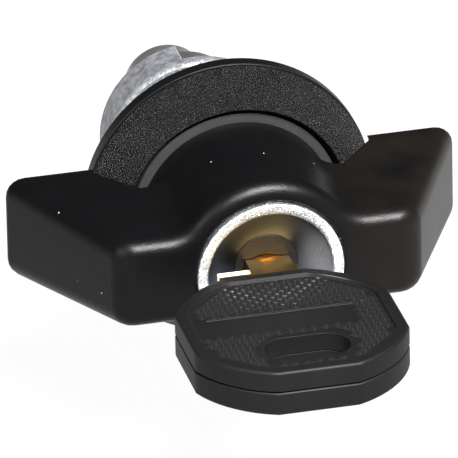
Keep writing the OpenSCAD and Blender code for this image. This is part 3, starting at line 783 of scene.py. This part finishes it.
class Finish:
    """A material with a Principled shader, and the few methods that this lesson's finishes need."""

    def __init__(self, name, **constants):
        self.material = bpy.data.materials.new(name)
        self.material.use_nodes = True
        self.tree = self.material.node_tree
        self.shader = self.tree.nodes["Principled BSDF"]
        for socket, value in constants.items():
            self.shader.inputs[socket.replace("_", " ")].default_value = value
        coordinates = self.tree.nodes.new("ShaderNodeTexCoord")
        scale = self.node("VectorMath", {"operation": "SCALE"},
                          {0: coordinates.outputs["Object"], "Scale": 1 / MM})
        self.place = scale.outputs["Vector"]
        parts = self.node("SeparateXYZ", {}, {0: self.place})
        self.x, self.y, self.z = [Value(self.tree, s) for s in parts.outputs]
        self.radius = (self.x * self.x + self.z * self.z).root()

    def node(self, kind, settings, inputs):
        node = self.tree.nodes.new("ShaderNode" + kind)
        for name, setting in settings.items():
            setattr(node, name, setting)
        for slot, given in inputs.items():
            if isinstance(given, Value):
                self.tree.links.new(given.socket, node.inputs[slot])
            elif isinstance(given, bpy.types.NodeSocket):
                self.tree.links.new(given, node.inputs[slot])
            else:
                node.inputs[slot].default_value = given
        return node

    def noise(self, size, detail=2.0, place=None):
        """Cloudy noise about 0.5, with blobs of a size in millimetres."""
        node = self.node("TexNoise", {}, {"Vector": place or self.place, "Scale": 1 / size, "Detail": detail})
        return Value(self.tree, node.outputs[0])

    def grains(self, size):
        """Distance to the nearest grain, for grains of a size in millimetres."""
        node = self.node("TexVoronoi", {}, {"Vector": self.place, "Scale": 1 / size})
        return Value(self.tree, node.outputs["Distance"])

    def stretched(self, x, y, z):
        node = self.node("VectorMath", {"operation": "MULTIPLY"}, {0: self.place, 1: (x, y, z)})
        return node.outputs["Vector"]

    def mix(self, mask, low, high):
        """Goes from one colour to another with a mask."""
        node = self.node("Mix", {"data_type": "RGBA"}, {0: mask})
        for slot, given in ((6, low), (7, high)):
            if isinstance(given, bpy.types.NodeSocket):
                self.tree.links.new(given, node.inputs[slot])
            else:
                node.inputs[slot].default_value = (*given, 1)
        return node.outputs[2]

    def set(self, socket, value):
        self.tree.links.new(value.socket if isinstance(value, Value) else value, self.shader.inputs[socket])
        return self

    def worn_edge(self, radius):
        """A mask that is 1 on outer and inner edges: there a rounded normal leaves the true one."""
        bevel = self.node("Bevel", {"samples": 4}, {"Radius": radius * MM})
        geometry = self.node("NewGeometry", {}, {})
        dot = self.node("VectorMath", {"operation": "DOT_PRODUCT"},
                        {0: bevel.outputs["Normal"], 1: geometry.outputs["Normal"]})
        return (1 - Value(self.tree, dot.outputs["Value"])).step(0.02, 0.25)

    def relief(self, height, depth, edge=0.12):
        """Bumps the surface by a height worth a depth in millimetres, over edges rounded by a radius."""
        inputs = {"Height": height, "Distance": depth * MM, "Strength": 1.0}
        if edge:
            bevel = self.node("Bevel", {"samples": 4}, {"Radius": edge * MM})
            inputs["Normal"] = bevel.outputs["Normal"]
        bump = self.node("Bump", {}, inputs)
        self.tree.links.new(bump.outputs["Normal"], self.shader.inputs["Normal"])
        return self


# %% [markdown]
# ## Black plastics
# The handle, the rosette and the key are black, but each in its own way. The handle came from a fine-grained
# mould and has a soft sheen, with a few specks of dust. The rosette's cone is as coarse as leather, and its
# rim is plain. The key is duller, and its pyramids are polished where fingers rub them.

# %% Black plastics
def handle_plastic():
    f = Finish("satin black nylon", Specular_IOR_Level=0.1)
    fine = f.noise(0.16, 3)
    cloud = f.noise(6.0, 2)
    # Painted warm light: patches of the right wing are painted a lighter, warmer black.
    painted_warm_light = f.x.step(2, 20) * f.noise(9.0, 1).step(0.35, 0.65)
    dust = 1 - f.grains(2.3).step(0.03, 0.05)
    dusty = dust * f.noise(4.0, 1).step(0.52, 0.6)
    black = f.mix(painted_warm_light, (0.0012, 0.0012, 0.0014), (0.0042, 0.0033, 0.0025))
    black = f.mix(cloud.step(0.3, 0.7) * 0.5, black, (0.0018, 0.0018, 0.002))
    f.set("Base Color", f.mix(dusty * 0.7, black, (0.35, 0.34, 0.32)))
    f.set("Roughness", 0.24 + fine * 0.12 + cloud * 0.05)
    return f.relief(fine * 0.9 + f.noise(0.5, 2) * 0.5, 0.034, edge=0.3).material


def rosette_plastic():
    f = Finish("coarse grained black nylon", Specular_IOR_Level=0.16)
    cone = f.radius.step(13.7, 13.9) * (1 - f.radius.step(17.8, 17.95)) * (1 - f.y.step(-1.95, -1.7))
    grain = f.noise(0.11, 3) + (1 - f.grains(0.19)) * 0.7
    patch = f.noise(1.4, 2).step(0.3, 0.7)
    f.set("Base Color", f.mix(patch * cone, (0.0014, 0.0014, 0.0015), (0.0028, 0.0027, 0.0028)))
    f.set("Roughness", 0.4 - cone * 0.12)
    return f.relief(grain * (cone * 0.97 + 0.03), 0.2, edge=0.15).material


def key_plastic():
    f = Finish("dull black key plastic", Specular_IOR_Level=0.11, Coat_Roughness=0.16)
    fine = f.noise(0.2, 3)
    cloud = f.noise(5.0, 2)
    rub = f.worn_edge(0.1)
    face_z = upper_high.z
    tops = f.z.step(face_z - 0.12, face_z - 0.08) * (1 - f.z.step(face_z - 0.04, face_z - 0.02))
    black = f.mix(cloud, (0.002, 0.002, 0.0022), (0.0036, 0.0034, 0.0034))
    f.set("Base Color", f.mix(rub * 0.5, black, (0.026, 0.026, 0.028)))
    f.set("Roughness", 0.44 + fine * 0.14 - rub * 0.12)
    f.set("Coat Weight", tops * 0.9)
    return f.relief(fine + f.noise(0.6, 2) * 0.7, 0.014, edge=0.08).material


def plain_plastic():
    f = Finish("plain black plastic", Specular_IOR_Level=0.4)
    f.set("Base Color", f.mix(f.noise(3.0), (0.011, 0.011, 0.012), (0.018, 0.018, 0.018)))
    f.set("Roughness", 0.4 + f.noise(0.4) * 0.15)
    return f.relief(f.noise(0.3), 0.01).material


def rubber():
    f = Finish("matt black rubber", Specular_IOR_Level=0.3)
    f.set("Base Color", f.mix(f.noise(2.0), (0.012, 0.012, 0.012), (0.022, 0.021, 0.02)))
    f.set("Roughness", 0.72 + f.noise(0.3) * 0.15)
    return f.relief(f.noise(0.25, 3), 0.02).material


# %% [markdown]
# ## Cast and plated metals
# Cast zinc is grey, rough and pitted, and it shines only where a tool or wear has cut it. Plated steel is
# paler and a little cloudy. Turned steel shows fine rings round its axis. The chrome dish is smooth, with
# painted shade that darkens it towards the plug and a painted reflection on its right side, and the rim of
# the cap is pale and grainy, so it glitters. The key's brass is bright on its worn edges, and the shoulder
# beside its neck carries a painted glint.

# %% Metals
def cast_zinc():
    f = Finish("die-cast zinc")
    f.shader.inputs["Metallic"].default_value = 0.75
    machined = 1 - f.y.step(GROOVE_Y + 0.5, GROOVE_Y + 1.4)
    skin = f.noise(0.9, 5)
    pit = (1 - f.grains(0.8).step(0.1, 0.26)) * f.noise(2.4, 1).step(0.42, 0.62)
    worn = f.worn_edge(0.22)
    cast = f.mix(skin.step(0.25, 0.75), (0.12, 0.122, 0.133), (0.23, 0.235, 0.25))
    bright = f.mix(f.noise(0.4, 4).step(0.35, 0.65), (0.15, 0.16, 0.17), (0.36, 0.37, 0.38))
    # Painted shade: the band of the groove is painted dark grey.
    groove_shade = f.y.step(GROOVE_Y - 0.5, GROOVE_Y - 0.2) * (1 - f.y.step(GROOVE_Y + 0.1, GROOVE_Y + 0.35))
    bright = f.mix(groove_shade, bright, (0.08, 0.085, 0.09))
    colour = f.mix(machined, cast, bright)
    colour = f.mix(pit * (1 - machined * 0.7), colour, (0.07, 0.07, 0.078))
    f.set("Base Color", f.mix(worn, colour, (0.86, 0.86, 0.84)))
    f.set("Roughness", 0.5 - machined * 0.12 - worn * 0.2 + skin * 0.16)
    rings = f.noise(0.25, 2, f.stretched(0.02, 3.0, 0.02)) * machined
    return f.relief(skin * (1 - machined * 0.8) - pit * 0.8 + rings * 0.15, 0.07, edge=0.15).material


def plated_zinc():
    f = Finish("zinc plated steel", Metallic=1.0)
    cloud = f.noise(3.5, 3)
    spangle = f.noise(0.5, 3)
    worn = f.worn_edge(0.15)
    plate = f.mix(cloud, (0.46, 0.475, 0.49), (0.62, 0.615, 0.58))
    f.set("Base Color", f.mix(worn * 0.6, plate, (0.8, 0.8, 0.8)))
    f.set("Roughness", 0.3 + cloud * 0.14 + spangle * 0.06)
    return f.relief(spangle + f.noise(0.16), 0.012, edge=0.15).material


def turned_steel():
    f = Finish("turned steel", Metallic=1.0)
    rings = f.noise(0.3, 3, f.stretched(0.05, 2.5, 0.05))
    cloud = f.noise(2.5, 2)
    f.set("Base Color", f.mix(cloud, (0.5, 0.52, 0.53), (0.66, 0.68, 0.68)))
    f.set("Roughness", 0.26 + rings * 0.18)
    return f.relief(rings, 0.012, edge=0.12).material


def dark_steel():
    f = Finish("blackened steel", Metallic=1.0)
    f.set("Base Color", f.mix(f.noise(1.2), (0.045, 0.045, 0.05), (0.09, 0.088, 0.085)))
    f.set("Roughness", 0.38 + f.noise(0.3) * 0.16)
    return f.relief(f.noise(0.2), 0.01).material


def spring_steel():
    f = Finish("spring steel", Metallic=1.0)
    f.set("Base Color", f.mix(f.noise(0.8), (0.42, 0.43, 0.45), (0.6, 0.6, 0.6)))
    f.set("Roughness", 0.24 + f.noise(0.2) * 0.16)
    return f.relief(f.noise(0.15), 0.006).material


def barrel_metal():
    f = Finish("plain die-cast barrel", Metallic=0.85)
    skin = f.noise(0.7, 4)
    f.set("Base Color", f.mix(skin, (0.26, 0.25, 0.23), (0.4, 0.385, 0.36)))
    f.set("Roughness", 0.38 + skin * 0.2)
    return f.relief(skin, 0.03).material


def brass():
    f = Finish("stamped brass")
    cloud = f.noise(2.2, 3)
    scratch = f.noise(0.22, 2, f.stretched(2.5, 0.15, 2.5))
    worn = f.worn_edge(0.12)
    metal = f.mix(cloud, (0.2, 0.125, 0.04), (0.36, 0.25, 0.1))
    # Painted glint: a band of the left shoulder just behind the cap's rim is painted pale brass and made less
    # metallic.
    behind = f.y.step(cap_low.y - 1.5, cap_low.y - 1.1) * (1 - f.y.step(-23.3, -23.2))
    painted_glint_shoulder = behind * (1 - f.x.step(-3.1, -2.7))
    metal = f.mix(painted_glint_shoulder, metal, (0.95, 0.82, 0.5))
    f.set("Base Color", f.mix(worn * 0.9, metal, (0.95, 0.78, 0.42)))
    f.set("Metallic", 1 - painted_glint_shoulder * 0.7)
    f.set("Roughness", 0.24 + cloud * 0.12 + scratch * 0.08)
    return f.relief(scratch, 0.012, edge=0.12).material


def plug_brass():
    f = Finish("plug brass", Metallic=1.0)
    # Painted shade: the plug's front face, deep in the dish, is painted near-black and made rougher.
    nose_shade = 1 - f.y.step(plug_low.y + 0.02, plug_low.y + 0.05)
    cloud = f.noise(1.8, 3)
    metal = f.mix(cloud, (0.42, 0.27, 0.085), (0.62, 0.44, 0.17))
    f.set("Base Color", f.mix(nose_shade, metal, (0.035, 0.033, 0.03)))
    f.set("Roughness", 0.22 + cloud * 0.14 + nose_shade * 0.2)
    return f.relief(cloud + f.noise(0.2), 0.008, edge=0.08).material


def chrome():
    f = Finish("bright chrome", Metallic=1.0)
    rim = f.radius.step(7.6, 7.9)
    # Painted reflection: the right side of the dish, below its top, is painted a paler grey.
    right = f.x.step(3.0, 6.8) * (1 - f.z.step(1.5, 6.0))
    grain = f.grains(0.2) + f.noise(0.14, 3)
    ripple = f.noise(0.4, 3)
    # Painted shade: the dish is painted dark, bluish grey near the rim and darkest deep towards the plug.
    depth = f.y.step(cap_low.y + 0.5, cap_low.y + 2.4)
    dish = f.mix(depth, (0.11, 0.125, 0.17), (0.03, 0.032, 0.038))
    dish = f.mix(right, dish, (0.3, 0.31, 0.33))
    grainy_rim = f.mix(f.noise(0.22).step(0.35, 0.65), (0.36, 0.38, 0.4), (0.9, 0.91, 0.92))
    f.set("Base Color", f.mix(rim, dish, grainy_rim))
    f.set("Roughness", 0.3 + ripple * 0.08)
    return f.relief(grain * (rim * 0.9 + right * 0.4) + ripple * 0.05, 0.12, edge=0.0).material


# %% [markdown]
# ## Dressing the nodes
# Every node that the CAD hands over keeps its shape and only gets its finish here. The finish follows the
# record's material slots, so a new node is dressed as soon as it has a slot.

# %% Materials on pieces
FINISHES = {
    "handle_black": handle_plastic(),
    "rosette_black": rosette_plastic(),
    "key_black": key_plastic(),
    "seal_rubber": rubber(),
    "ring_plastic": plain_plastic(),
    "cast_zinc": cast_zinc(),
    "plated_zinc": plated_zinc(),
    "ground_steel": turned_steel(),
    "black_steel": dark_steel(),
    "barrel_zinc": barrel_metal(),
    "chrome_sheet": chrome(),
    "brass": brass(),
    "plug_face": plug_brass(),
    "spring_wire": spring_steel(),
}
NEW_PIECES = {
    "handle_moulding": "handle_black", "rosette_plate": "rosette_black", "housing_casting": "cast_zinc",
    "cap_pressing": "chrome_sheet", "key_bow_upper_shell": "key_black", "key_bow_lower_shell": "key_black",
    "spring_coils": "spring_wire",
}


def dress(piece, finish_name):
    piece.data.materials.clear()
    piece.data.materials.append(FINISHES[finish_name])


def dress_all():
    for part in frame["record"]["subparts"]:
        piece = bpy.data.objects.get(part["node"])
        if piece is not None:
            dress(piece, part["material_slot"])
    dress(bpy.data.objects["plug"], "plug_face")
    for name, slot in NEW_PIECES.items():
        dress(bpy.data.objects[name], slot)


dress_all()
print("finishes:", len(FINISHES))


# %% [markdown]
# ## The studio
# Black plastic shows only what it reflects. One large soft light stands above and in front, a second on the
# left, and a weak one on the right fills the shadows. The floor is pale and round, and it is white to the
# camera without more light on the lock.

# %% Studio
FLOOR_GAP = 0.3
LOCK_MIDDLE = Vector((0, -10, 0)) * MM


def add_floor():
    low = min(cad_box[0][2], 0)
    bm = bmesh.new()
    bmesh.ops.create_circle(bm, segments=96, radius=3.0, cap_ends=True)
    bmesh.ops.translate(bm, verts=bm.verts, vec=(0, 0, low - FLOOR_GAP * MM))
    floor = piece_from(bm, "floor")
    floor.data.materials.append(white_material("studio floor", 0.965))


def white_material(name, glow):
    """A pale matt surface that glows for the camera and in reflections, so that it comes out white."""
    f = Finish(name, Roughness=0.9)
    f.shader.inputs["Base Color"].default_value = (0.86, 0.86, 0.86, 1)
    f.shader.inputs["Specular IOR Level"].default_value = 0.1
    path = f.node("LightPath", {}, {})
    rays = ("Is Camera Ray", "Is Glossy Ray", "Is Transmission Ray")
    seen = [Value(f.tree, path.outputs[ray]) for ray in rays]
    shown = seen[0].maths("MAXIMUM", seen[0], seen[1])
    shown = shown.maths("MAXIMUM", shown, seen[2])
    glow_node = f.node("Emission", {}, {"Color": (1, 1, 1, 1), "Strength": 1.0})
    share = f.node("MixShader", {}, {0: shown * glow})
    f.tree.links.new(f.shader.outputs[0], share.inputs[1])
    f.tree.links.new(glow_node.outputs[0], share.inputs[2])
    f.tree.links.new(share.outputs[0], f.tree.nodes["Material Output"].inputs["Surface"])
    return f.material


def add_light(name, direction, distance, width, height, power):
    data = bpy.data.lights.new(name, "AREA")
    data.shape = "RECTANGLE"
    data.size = width
    data.size_y = height
    data.energy = power
    light = bpy.data.objects.new(name, data)
    away = Vector(direction).normalized()
    light.location = LOCK_MIDDLE + away * distance
    light.rotation_euler = away.to_track_quat("Z", "Y").to_euler()
    bpy.context.scene.collection.objects.link(light)


def add_world(strength):
    world = bpy.data.worlds.new("studio air")
    world.use_nodes = True
    world.node_tree.nodes["Background"].inputs["Color"].default_value = (1, 1, 1, 1)
    world.node_tree.nodes["Background"].inputs["Strength"].default_value = strength
    bpy.context.scene.world = world


add_floor()
add_world(0.05)
add_light("top softbox", (0.14, -0.6, 0.78), 0.6, 0.36, 0.14, 27.0)
add_light("left softbox", (-0.8, -0.45, 0.42), 0.7, 0.3, 0.35, 3.0)
add_light("right fill", (0.85, -0.5, 0.5), 0.8, 0.25, 0.25, 0.2)
bpy.context.scene.view_settings.view_transform = "Standard"
